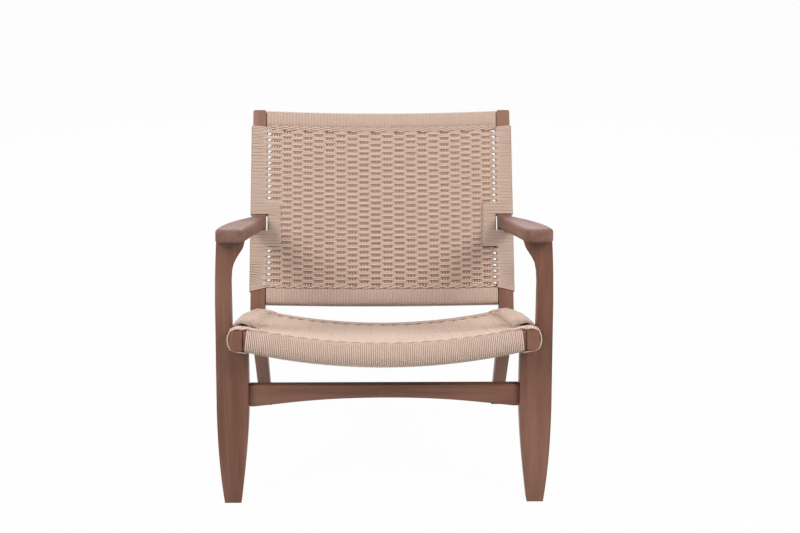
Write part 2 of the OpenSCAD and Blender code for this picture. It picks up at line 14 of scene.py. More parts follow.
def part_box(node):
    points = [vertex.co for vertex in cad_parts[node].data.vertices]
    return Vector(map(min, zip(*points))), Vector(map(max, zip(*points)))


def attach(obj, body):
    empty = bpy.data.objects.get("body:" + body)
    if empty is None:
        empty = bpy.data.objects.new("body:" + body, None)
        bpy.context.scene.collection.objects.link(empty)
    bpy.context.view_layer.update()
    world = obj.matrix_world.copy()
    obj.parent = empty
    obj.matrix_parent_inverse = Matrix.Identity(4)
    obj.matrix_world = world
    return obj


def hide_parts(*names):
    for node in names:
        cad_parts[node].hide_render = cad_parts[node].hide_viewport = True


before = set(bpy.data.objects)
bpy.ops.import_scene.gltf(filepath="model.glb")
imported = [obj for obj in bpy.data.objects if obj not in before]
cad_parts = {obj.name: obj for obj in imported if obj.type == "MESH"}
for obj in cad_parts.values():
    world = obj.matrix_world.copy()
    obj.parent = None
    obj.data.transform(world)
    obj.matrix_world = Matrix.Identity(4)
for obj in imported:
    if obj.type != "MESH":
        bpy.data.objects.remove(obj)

bl_info = {
    "name": "Paper-cord armchair",
    "version": (1, 0, 0),
    "blender": (4, 5, 0),
    "location": "View3D > Sidebar > Armchair",
    "description": "Makes the wood, the woven paper cord, the fastenings and the studio of an armchair",
    "category": "Object",
}

SIDES = {"right": 1.0, "left": -1.0}
LEG_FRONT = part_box("front_leg_right")[0].y


# ---- settings

def setting(name, description, default, **kind):
    return bpy.props.FloatProperty(name=name, description=description, default=default, **kind)


def length(name, description, default):
    return setting(name, description, default, unit="LENGTH")


def degrees(name, description, default):
    return setting(name, description, math.radians(default), subtype="ANGLE")


def power(name, description, default):
    return setting(name, description, default, unit="POWER")


def colour(name, description, default):
    return bpy.props.FloatVectorProperty(
        name=name, description=description, default=default, subtype="COLOR", min=0, max=1)


class ChairSizes(bpy.types.PropertyGroup):
    """Sizes of the chair's frame and of its cord."""
    seat_height: length("Seat height", "Top of a side rail's front end", 0.408)
    seat_slope: degrees("Seat slope", "Fall of the seat towards the back", 13.4)
    rail_nose: length("Rail nose", "Side rail that stands ahead of the leg", 0.044)
    rail_x: length("Side rail", "From the middle to a side rail's centre line at the front", 0.30811)
    rail_toe: degrees("Side rail toe-in", "How far each side rail turns in", 1.4)
    rail_width: length("Side rail width", "Thickness of a side rail", 0.031)
    rail_height: length("Seat rail height", "Height of all the seat's rails", 0.041)
    cross_rail: length("Cross rail", "Thickness of the seat's front and rear rails", 0.027)
    seat_depth: length("Seat depth", "From the rail's front end to the back of the rear rail", 0.510)
    seat_bow: length("Seat dip radius", "Radius of the seat's dip", 1.310)
    stile_at: length("Stile place", "Along the side rail from its front end to the stile", 0.519)
    back_lean: degrees("Back lean", "Lean of the back from upright", 25)
    stile_x: length("Stile", "From the middle to a stile's inner face", 0.27693)
    stile_foot: length("Stile foot width", "Width of a stile at its foot", 0.035)
    stile_top: length("Stile top width", "Width of a stile at its top", 0.031)
    stile_length: length("Stile length", "Length of a stile's front face", 0.485)
    stile_depth: length("Stile depth", "Front-to-back thickness of a stile", 0.028)
    back_bow: length("Back hollow radius", "Radius of the back's hollow", 1.409)
    back_rail: length("Back rail thickness", "Thickness of a back rail", 0.022)
    back_rail_height: length("Back rail height", "Height of a back rail", 0.033)
    back_rail_low: length("Lower back rail", "Its bottom edge above the stile's foot", 0.018)
    bar_x: length("Weaving bar", "From the middle to a bar's inner face", 0.24543)
    bar_width: length("Weaving bar width", "Width of a weaving bar", 0.021)
    span_low: length("Bar cord start", "Height on the stile where the cord first takes in the bar", 0.1525)
    span_high: length("Bar cord end", "Height on the stile where the cord leaves the bar", 0.2605)
    bare_low: length("Bare stile start", "Height on the stile where the lower cord stops", 0.19286)
    bare_high: length("Bare stile end", "Height on the stile where the upper cord begins", 0.22954)
    edge: length("Rail edges", "Rounding of the rails' long edges", 0.006)
    rail_round: length("Side rail's outer edges", "Rounding of the side rails' outer long edges", 0.012)
    arris: length("Arris", "Rounding of the bare wood's edges", 0.003)
    cord: length("Cord", "Diameter of the paper cord", 0.0034)
    twist: length("Cord twist", "Length of one turn of the cord's twist", 0.016)


class ChairColours(bpy.types.PropertyGroup):
    """Colours of the chair and of the studio."""
    wood: colour("Wood", "Body colour of the oiled wood", (0.202, 0.087, 0.052))
    # Partly the armrests' own paler, greyer wood, and partly a painted sheen that stands in for the light on
    # their tops.
    wood_pale_sheen: colour("Pale armrest wood with painted sheen", "Body colour of the armrests", (0.215, 0.118, 0.093))
    wood_dark: colour("Wood grain", "Colour of the dark grain", (0.086, 0.029, 0.015))
    cord: colour("Cord", "Colour of the paper cord", (0.757, 0.624, 0.552))
    # Serves both the cord's own darker fibres and tones, and painted shade in the twist's grooves and on its
    # flanks.
    cord_dark_fibre_and_shade: colour("Cord fibres and painted groove shade", "Colour in the grooves of the twist", (0.420, 0.255, 0.165))
    # Painted shade: this colour stands in for the shadow deep in the weave.
    cord_painted_shade: colour("Painted weave shade", "Colour deep in the weave", (0.270, 0.105, 0.036))
    steel: colour("Steel", "Colour of the screws, bolts and nuts", (0.52, 0.51, 0.50))
    floor: colour("Floor", "Colour of the studio floor", (0.60, 0.60, 0.60))


class StudioSettings(bpy.types.PropertyGroup):
    """Camera and lamps."""
    distance: length("Distance", "From the camera to the front legs' front", 3.4927)
    height: length("Height", "Height of the camera", 1.5798)
    aside: length("Aside", "Place of the camera across the chair", -0.0398)
    pitch: degrees("Pitch", "How far the camera looks down", 16.67)
    yaw: degrees("Yaw", "How far the camera looks to the right", 1.18)
    roll: degrees("Roll", "How far the picture is turned clockwise", 0.21)
    lens: setting("Lens", "Focal length on a 36 mm sensor", 79.07, unit="CAMERA")
    top_light: power("Top light", "Power of the light above", 8.0)
    front_light: power("Front lights", "Power of each light in front, left and right", 95.0)
    rear_light: power("Rear light", "Power of the light behind", 60.0)
    ambient: setting("Ambient", "Strength of the room's light", 0.28)


def sizes():
    return bpy.context.scene.chair_sizes


def colours():
    return bpy.context.scene.chair_colours


# ---- the chair's own frames

def seat_frame():
    """Origin: top of the side rails' front end. Y runs back along the seat, Z stands on it."""
    s = sizes()
    start = Vector((0, LEG_FRONT - s.rail_nose * math.cos(s.seat_slope), s.seat_height))
    return Matrix.Translation(start) @ Matrix.Rotation(-s.seat_slope, 4, "X")


def rail_frame(side):
    """A side rail's own frame: Y runs back along its centre line, Z stands on its top."""
    s = sizes()
    return (seat_frame() @ Matrix.Translation((SIDES[side] * s.rail_x, 0, 0))
            @ Matrix.Rotation(SIDES[side] * s.rail_toe, 4, "Z"))


def back_frame():
    """Origin: foot of the stiles' front face. Z runs up the stile, Y rearwards."""
    s = sizes()
    foot = seat_frame() @ Vector((0, s.stile_at, 0))
    return Matrix.Translation(foot) @ Matrix.Rotation(-s.back_lean, 4, "X")


# ---- studio

def look_matrix(studio):
    place = Matrix.Translation((studio.aside, LEG_FRONT - studio.distance, studio.height))
    turn = Matrix.Rotation(-studio.yaw, 4, "Z") @ Matrix.Rotation(math.pi / 2 - studio.pitch, 4, "X")
    return place @ turn @ Matrix.Rotation(studio.roll, 4, "Z")


def area_lamp(name, place, target, size, watts):
    bpy.ops.object.light_add(type="AREA", location=place)
    lamp = bpy.context.object
    lamp.name = name
    lamp.data.shape = "RECTANGLE"
    lamp.data.size, lamp.data.size_y = size
    lamp.data.energy = watts
    lamp.rotation_euler = (Vector(target) - Vector(place)).to_track_quat("-Z", "Y").to_euler()


class CHAIR_OT_studio(bpy.types.Operator):
    """Make the floor, the lamps and the camera"""
    bl_idname = "chair.studio"
    bl_label = "Studio"

    def execute(self, context):
        scene = context.scene
        studio = scene.chair_studio
        scene.view_settings.view_transform = "Standard"
        bpy.ops.mesh.primitive_plane_add(size=40)
        floor = context.object
        floor.name = "studio_floor"
        floor.data.materials.append(floor_material())
        scene.world = scene.world or bpy.data.worlds.new("World")
        studio_world(scene.world, studio.ambient)
        area_lamp("top_light", (0, -0.5, 2.6), (0, 0, 0.3), (2.6, 2.2), studio.top_light)
        for side, sign in SIDES.items():
            area_lamp(side + "_light", (sign * 2.1, -2.1, 2.7), (0, 0, 0.45), (1.3, 1.3), studio.front_light)
        area_lamp("rear_light", (0, 2.9, 2.3), (0, 0, 0.5), (2.4, 1.4), studio.rear_light)
        bpy.ops.object.camera_add()
        camera = context.object
        camera.name = "camera"
        camera.matrix_world = look_matrix(studio)
        camera.data.lens = studio.lens
        camera.data.sensor_width = 36
        scene.camera = camera
        return {"FINISHED"}


# ---- material building blocks

class Nodes:
    """Adds nodes to a tree and links them."""

    def __init__(self, tree):
        self.tree = tree

    def add(self, kind, inputs=None, **settings):
        node = self.tree.nodes.new(kind)
        for name, value in settings.items():
            setattr(node, name, value)
        self.fill(node.inputs, inputs or {})
        return node

    def fill(self, sockets, values):
        """Sets or links sockets, each by its name or number."""
        for name, value in values.items():
            if isinstance(value, bpy.types.NodeSocket):
                self.tree.links.new(value, sockets[name])
            else:
                sockets[name].default_value = value

    def math(self, operation, a, b=0.0):
        return self.add("ShaderNodeMath", {0: a, 1: b}, operation=operation).outputs[0]

    def times(self, a, b):
        return self.math("MULTIPLY", a, b)

    def plus(self, a, b):
        return self.math("ADD", a, b)

    def mix(self, factor, a, b):
        return self.add("ShaderNodeMix", {0: factor, 6: a, 7: b}, data_type="RGBA").outputs[2]

    def noise(self, vector, scale, detail, rough, distortion=0.0):
        node = self.add("ShaderNodeTexNoise", {"Vector": vector, "Scale": scale, "Detail": detail,
                                               "Roughness": rough, "Distortion": distortion})
        return node.outputs["Fac"]

    def ramp(self, value, low, high):
        node = self.add("ShaderNodeMapRange", {"Value": value, "From Min": low, "From Max": high},
                        interpolation_type="SMOOTHSTEP")
        return node.outputs["Result"]

    def mapped(self, vector, scale=(1, 1, 1), rotation=(0, 0, 0)):
        node = self.add("ShaderNodeMapping", {"Vector": vector, "Scale": scale, "Rotation": rotation})
        return node.outputs["Vector"]

    def bump(self, strength, distance, height):
        node = self.add("ShaderNodeBump", {"Strength": strength, "Distance": distance, "Height": height})
        return node.outputs["Normal"]


def rgba(tint):
    return (*tint, 1.0)


def emptied(owner):
    """The helper for a material's or the world's node tree, emptied."""
    owner.use_nodes = True
    owner.node_tree.nodes.clear()
    return Nodes(owner.node_tree)


def new_material(name):
    """A material with its helper and its shader's inputs."""
    material = bpy.data.materials.new(name)
    nodes = emptied(material)
    shader = nodes.add("ShaderNodeBsdfPrincipled")
    nodes.add("ShaderNodeOutputMaterial", {"Surface": shader.outputs["BSDF"]})
    return material, nodes, shader.inputs


def new_group(name, inputs, outputs):
    """A shader node group with named sockets, its helper, and its sockets as they are seen inside it."""
    group = bpy.data.node_groups.new(name, "ShaderNodeTree")
    for way, sockets in (("INPUT", inputs), ("OUTPUT", outputs)):
        for socket, kind in sockets.items():
            group.interface.new_socket(socket, in_out=way, socket_type="NodeSocket" + kind)
    nodes = Nodes(group)
    return group, nodes, nodes.add("NodeGroupInput").outputs, nodes.add("NodeGroupOutput").inputs


def show_white(nodes, shader, glow, output, share):
    """Puts a shader out, whitened by a share for the camera, in mirrors and through glass."""
    path = nodes.add("ShaderNodeLightPath").outputs
    seen = nodes.math("MAXIMUM", path["Is Camera Ray"], path["Is Glossy Ray"])
    seen = nodes.math("MAXIMUM", seen, path["Is Transmission Ray"])
    white = nodes.add(glow, {"Color": (1, 1, 1, 1), "Strength": 1.0})
    both = nodes.add("ShaderNodeMixShader",
                     {0: nodes.times(seen, share), 1: shader.outputs[0], 2: white.outputs[0]})
    nodes.add(output, {"Surface": both.outputs[0]})


def floor_material():
    """Pale floor: lit from above for everything, and nearly white to the camera, with the shadow kept."""
    material = bpy.data.materials.new("pale_floor")
    nodes = emptied(material)
    lit = nodes.add("ShaderNodeBsdfDiffuse", {"Color": rgba(colours().floor)})
    show_white(nodes, lit, "ShaderNodeEmission", "ShaderNodeOutputMaterial", share=0.975)
    return material


def studio_world(world, ambient):
    """Even light of the room, and a white wall to the camera."""
    nodes = emptied(world)
    room = nodes.add("ShaderNodeBackground", {"Color": (1, 1, 1, 1), "Strength": ambient})
    show_white(nodes, room, "ShaderNodeBackground", "ShaderNodeOutputWorld", share=1.0)


# ---- wood

REAR_LEG_LEAN = math.radians(33)
ARMREST_SLOPE = math.radians(12.5)
STILE_ARRIS = 0.0022
AGED_WOOD = (0.300, 0.160, 0.110, 1)


def wood_grain_group():
    """Straight fine grain along Z: broad bands, fibres, pores and a slow change of tone."""
    if "Wood grain" in bpy.data.node_groups:
        return bpy.data.node_groups["Wood grain"]
    group, nodes, given, out = new_group(
        "Wood grain", {"Vector": "Vector", "Light": "Color", "Dark": "Color"},
        {"Color": "Color", "Roughness": "Float", "Height": "Float"})
    vector = given["Vector"]
    bands = nodes.noise(nodes.mapped(vector, (42, 42, 2.2)), 1.0, 4.0, 0.6, 0.6)
    fibres = nodes.noise(nodes.mapped(vector, (380, 380, 14)), 1.0, 3.0, 0.6)
    pores = nodes.ramp(nodes.noise(nodes.mapped(vector, (900, 900, 40)), 1.0, 2.0, 0.5), 0.62, 0.72)
    cloud = nodes.noise(nodes.mapped(vector, (7, 7, 3)), 1.0, 2.0, 0.5)
    share = nodes.plus(nodes.times(nodes.ramp(bands, 0.36, 0.66), 0.52), nodes.times(fibres, 0.40))
    grain = nodes.mix(share, given["Light"], given["Dark"])
    aged = nodes.mix(nodes.times(nodes.ramp(cloud, 0.40, 0.68), 0.30), grain, AGED_WOOD)
    nodes.fill(out, {"Color": nodes.mix(nodes.times(pores, 0.45), aged, given["Dark"]),
                     "Roughness": nodes.plus(nodes.times(fibres, 0.16), 0.34),
                     "Height": nodes.math("SUBTRACT", nodes.times(fibres, 0.5), nodes.times(pores, 0.6))})
    return group


def wood_material(name, turn, pale_sheen=False):
    """Oiled wood whose grain runs along Z turned by an angle about X, or along X where turn is None."""
    material, nodes, shader = new_material(name)
    coordinates = nodes.add("ShaderNodeTexCoord").outputs
    rotation = (0, math.pi / 2, 0) if turn is None else (-turn, 0, 0)
    facing = nodes.mapped(coordinates["Normal"], rotation=rotation)
    facing = nodes.add("ShaderNodeSeparateXYZ", {"Vector": facing}).outputs["Z"]
    end = nodes.ramp(nodes.math("ABSOLUTE", facing), 0.70, 0.97)
    dark = rgba(colours().wood_dark)
    # The armrests' paler colour is partly their own wood and partly a painted sheen.
    grain = nodes.add("ShaderNodeGroup", {
        "Vector": nodes.mapped(coordinates["Object"], rotation=rotation),
        "Light": rgba(colours().wood_pale_sheen if pale_sheen else colours().wood), "Dark": dark},
        node_tree=wood_grain_group()).outputs
    nodes.fill(shader, {"Base Color": nodes.mix(nodes.times(end, 0.45), grain["Color"], dark),
                        "Roughness": nodes.plus(grain["Roughness"], 0.20 if pale_sheen else 0.04),
                        "Normal": nodes.bump(0.22, 0.0006, grain["Height"]), "Specular IOR Level": 0.4})
    return material


def eased_copy(node, arris, material):
    """A copy of a wooden part with its loose faces joined and its edges eased."""
    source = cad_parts[node]
    piece = source.copy()
    piece.data = source.data.copy()
    piece.name = node + "_wood"
    piece.parent = None
    for key in [key for key in piece.keys() if key.startswith("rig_")]:
        del piece[key]
    bpy.context.scene.collection.objects.link(piece)
    bpy.ops.object.select_all(action="DESELECT")
    piece.select_set(True)
    bpy.context.view_layer.objects.active = piece
    bpy.ops.object.mode_set(mode="EDIT")
    bpy.ops.mesh.select_all(action="SELECT")
    bpy.ops.mesh.remove_doubles(threshold=0.00002)
    bpy.ops.mesh.dissolve_limited(angle_limit=math.radians(0.6))
    bpy.ops.object.mode_set(mode="OBJECT")
    bevel = piece.modifiers.new("Arris", "BEVEL")
    bevel.width, bevel.segments, bevel.miter_outer = arris, 3, "MITER_ARC"
    bevel.limit_method, bevel.angle_limit = "ANGLE", math.radians(32)
    bpy.ops.object.modifier_apply(modifier=bevel.name)
    bpy.ops.object.shade_smooth_by_angle(angle=math.radians(35))
    piece.data.materials.clear()
    piece.data.materials.append(material)
    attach(piece, "root")
    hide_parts(node)


def finish_parts(material, *nodes):
    """Gives a material to parts that keep their shape."""
    for node in nodes:
        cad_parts[node].data.materials[0] = material


class CHAIR_OT_legs(bpy.types.Operator):
    """Ease the edges of the front and rear legs"""
    bl_idname = "chair.legs"
    bl_label = "Legs"

    def execute(self, context):
        upright = wood_material("wood_upright", 0.0)
        splayed = wood_material("wood_rear_leg", REAR_LEG_LEAN)
        for side in SIDES:
            eased_copy("front_leg_" + side, sizes().arris, upright)
            eased_copy("rear_leg_" + side, sizes().arris, splayed)
        return {"FINISHED"}


class CHAIR_OT_frame(bpy.types.Operator):
    """Finish the rails, stiles and the front stretcher"""
    bl_idname = "chair.frame"
    bl_label = "Rails and stiles"

    def execute(self, context):
        s = sizes()
        across = wood_material("wood_across", None)
        leaning = wood_material("wood_leaning", -s.back_lean)
        sloping = wood_material("wood_sloping", math.pi / 2 - s.seat_slope)
        eased_copy("front_stretcher", s.arris, across)
        for side in SIDES:
            eased_copy("back_stile_" + side, STILE_ARRIS, leaning)
            finish_parts(sloping, "seat_side_rail_" + side)
            finish_parts(leaning, "weaving_bar_" + side)
        finish_parts(across, "seat_front_rail", "seat_rear_rail", "back_top_rail", "back_bottom_rail")
        finish_parts(leaning, "rear_leg_dowels", "stile_dowels")
        return {"FINISHED"}


class CHAIR_OT_armrests(bpy.types.Operator):
    """Finish the armrests"""
    bl_idname = "chair.armrests"
    bl_label = "Armrests"

    def execute(self, context):
        material = wood_material("wood_armrest", math.pi / 2 - ARMREST_SLOPE, pale_sheen=True)
        for side in SIDES:
            eased_copy("armrest_" + side, sizes().arris, material)
        return {"FINISHED"}


def steel_material():
    """Zinc-plated steel with a faint mottle."""
    material, nodes, shader = new_material("zinc_steel")
    mottle = nodes.noise(nodes.add("ShaderNodeTexCoord").outputs["Object"], 900.0, 3.0, 0.6)
    steel = colours().steel
    nodes.fill(shader, {"Base Color": nodes.mix(mottle, rgba(steel), rgba([0.7 * part for part in steel])),
                        "Roughness": nodes.plus(nodes.times(mottle, 0.2), 0.28), "Metallic": 1.0})
    return material


class CHAIR_OT_fastenings(bpy.types.Operator):
    """Finish the screws, bolts and barrel nuts"""
    bl_idname = "chair.fastenings"
    bl_label = "Fastenings"

    def execute(self, context):
        finish_parts(steel_material(), "rail_screws", "bar_screws", "armrest_bolts", "armrest_barrel_nuts")
        return {"FINISHED"}


# ---- paper cord

CLEAR = 0.0002  # between a cord and what it lies on
ARC_STEPS = 2
FACE_SHARES = np.array([0.25, 0.5, 0.75])[:, None]
CORNER_POINTS = ARC_STEPS + 1 + len(FACE_SHARES)


def to_world(matrix, points):
    matrix = np.array(matrix)
    return np.asarray(points, float) @ matrix[:3, :3].T + matrix[:3, 3]


def unit(vectors):
    return vectors / np.linalg.norm(vectors, axis=-1, keepdims=True)


def smooth(value, low, high):
    """Rises gently from 0 at low to 1 at high."""
    share = np.clip((value - low) / (high - low), 0, 1)
    return share * share * (3 - 2 * share)


def taut_loop(corners, rounding, grow, belly=0.0):
    """A cord's line pulled round a section, anticlockwise.

    Each corner gets an arc, and each face stands proud by its belly.
    """
    corners = np.asarray(corners, float)
    edges = unit(np.roll(corners, -1, 0) - corners)
    after = np.column_stack([edges[:, 1], -edges[:, 0]])
    before = np.roll(after, 1, 0)
    arcs = []
    for corner, radius, first, last in zip(corners, np.broadcast_to(rounding, len(corners)), before, after):
        centre = corner - radius * (first + last) / (1 + first @ last)
        start = math.atan2(first[1], first[0])
        turn = (math.atan2(last[1], last[0]) - start) % (2 * math.pi)
        angle = start + turn * np.arange(ARC_STEPS + 1) / ARC_STEPS
        arcs.append(centre + (radius + grow) * np.column_stack([np.cos(angle), np.sin(angle)]))
    line = []
    for arc, ahead, normal, proud in zip(arcs, arcs[1:] + arcs[:1], after, np.broadcast_to(belly, len(arcs))):
        line += [arc, arc[-1] + FACE_SHARES * (ahead[0] - arc[-1])
                 + 4 * proud * FACE_SHARES * (1 - FACE_SHARES) * normal]
    return np.vstack(line)


def box_loop(low, high, rounding, belly=0.0, swell=0.0):
    """A cord's line round a section whose opposite corners are low and high."""
    (x0, y0), (x1, y1) = low, high
    corners = [(x0, y0), (x1, y0), (x1, y1), (x0, y1)]
    return taut_loop(corners, rounding, sizes().cord / 2 + CLEAR + swell, belly)


class Bow:
    """A surface curved across the chair. Depth is measured away from the sitter, along runs up or back."""

    def __init__(self, matrix, radius, reach, offset, upright):
        self.matrix, self.radius, self.offset, self.upright = matrix, radius, offset, upright
        self.along_axis = 2 if upright else 1
        self.centre = math.sqrt(radius ** 2 - reach ** 2)

    def local(self, x, depth, along):
        """Places in the frame of the seat or the back."""
        x, depth, along = np.broadcast_arrays(np.asarray(x, float), depth, along)
        angle = np.arcsin(x / self.radius)
        reach = self.radius + self.offset + depth
        out = reach * np.cos(angle) - self.centre
        across = reach * np.sin(angle)
        return np.stack([across, out, along] if self.upright else [across, along, -out], -1)

    def at(self, x, depth, along):
        return to_world(self.matrix, self.local(x, depth, along))

    def place(self, points):
        """Depth and distance along of points of the world."""
        x, y, z = to_world(self.matrix.inverted(), points).T
        out, along = (y, z) if self.upright else (-z, y)
        return np.hypot(x, out + self.centre) - self.radius - self.offset, along


def back_bow():
    s = sizes()
    return Bow(back_frame(), s.back_bow, s.stile_x, (s.stile_depth - s.back_rail) / 2, True)


def seat_half(along):
    """Half the clear width between the side rails at a distance along the seat."""
    s = sizes()
    return s.rail_x - s.rail_width / 2 - along * math.tan(s.rail_toe)


def seat_bow():
    s = sizes()
    return Bow(seat_frame(), s.seat_bow, seat_half(s.cross_rail / 2), 0.0, False)


class CordRuns:
    """Gathers runs of round cord, and makes of them one piece that stands in for a part of the frame."""

    FACETS = 6
    # How far the twist has gone on at the next closed turn, and how uneven that is.
    TURN_SHIFT, SCATTER = 1 / 12, 0.02

    def __init__(self, name, node, seed):
        self.name, self.node = name, node
        self.random = np.random.default_rng(seed)
        self.points, self.faces, self.uv, self.tone, self.hollow = [], [], [], [], []
        self.count, self.turn = 0, 0.0

    def add(self, points, across, closed=False, weave=None, hollow=0.0):
        """One run: its centre line, a direction that the line never follows, and the weave it is part of.

        The last argument gives the shade painted on its points, from 0 to 1, as if they lay deep in the
        cloth; None has the weave work it out.
        """
        points = np.asarray(points, float)
        rings = self.rings(points, across, closed, weave.FULLER if weave else 0)
        size = rings.shape[:2]
        self.add_faces(len(points), closed)
        self.add_twist(points, closed)
        hollow = weave.hollow(points, rings) if hollow is None else np.reshape(hollow, (-1, 1))
        self.points.append(rings.reshape(-1, 3))
        self.tone.append(np.full(size, self.random.uniform(0, 1)).ravel())
        self.hollow.append(np.broadcast_to(hollow, size).ravel())
        self.count += size[0] * size[1]

    def rings(self, points, across, closed, fuller):
        """The cord's skin round each point of its centre line."""
        if closed:
            ahead, behind = np.roll(points, -1, 0), np.roll(points, 1, 0)
        else:
            longer = np.vstack([2 * points[0] - points[1], points, 2 * points[-1] - points[-2]])
            ahead, behind = longer[2:], longer[:-2]
        along = unit(ahead - behind)
        first = unit(np.cross(np.broadcast_to(across, points.shape), along))[:, None]
        second = np.cross(along[:, None], first)
        angle = (np.arange(self.FACETS) + 0.5)[:, None] * 2 * math.pi / self.FACETS
        radius = sizes().cord / 2 + fuller
        return points[:, None] + radius * (np.cos(angle) * first + np.sin(angle) * second)

    def add_faces(self, rows, closed):
        """Faces between the rings, and one on each end of an open run."""
        sides = self.FACETS
        i, j = np.arange(rows if closed else rows - 1)[:, None], np.arange(sides)
        here, there, beside = i * sides, (i + 1) % rows * sides, (j + 1) % sides
        quads = np.stack([here + j, here + beside, there + beside, there + j], -1).reshape(-1, 4)
        self.faces.extend((quads + self.count).tolist())
        if not closed:
            ends = np.arange(sides)[::-1], np.arange(sides) + (rows - 1) * sides
            self.faces.extend((np.array(ends) + self.count).tolist())

    def add_twist(self, points, closed):
        """The skin's own coordinates: round the cord, and along it in turns of the twist."""
        steps = np.linalg.norm(np.roll(points, -1, 0) - points, axis=1)
        turned = self.turn + np.append(0, np.cumsum(steps if closed else steps[:-1])) / sizes().twist
        turn = self.turn + self.TURN_SHIFT if closed else turned[-1]
        self.turn = (turn + self.random.normal(0, self.SCATTER)) % 1
        low, high, left = turned[:-1, None], turned[1:, None], np.arange(self.FACETS) / self.FACETS
        right = left + 1 / self.FACETS
        corners = [np.stack(np.broadcast_arrays(*pair), -1)
                   for pair in ((left, low), (right, low), (right, high), (left, high))]
        self.uv.append(np.stack(corners, 2).reshape(-1, 2))
        if not closed:
            self.uv.append(np.zeros((2 * self.FACETS, 2)))

    def finish(self):
        """Makes the piece, with the cord's own coordinates and a tone for each run."""
        mesh = bpy.data.meshes.new(self.name)
        mesh.from_pydata(np.vstack(self.points).tolist(), [], self.faces)
        uv = mesh.uv_layers.new(name="cord")
        uv.data.foreach_set("uv", np.vstack(self.uv).astype(np.float32).ravel())
        # Each point keeps its painted shade as an attribute, which the cord's material darkens by.
        for name, values in (("tone", self.tone), ("hollow", self.hollow)):
            attribute = mesh.attributes.new(name, "FLOAT", "POINT")
            attribute.data.foreach_set("value", np.concatenate(values).astype(np.float32))
        mesh.polygons.foreach_set("use_smooth", np.ones(len(self.faces), bool))
        mesh.materials.append(cord_material())
        mesh.update()
        piece = bpy.data.objects.new(self.name, mesh)
        bpy.context.scene.collection.objects.link(piece)
        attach(piece, "root")
        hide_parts(self.node)


def wound(name, seed):
    """Runs for the cord that is wound round one part."""
    return CordRuns(name + "_cord", name + "_wrap", seed)


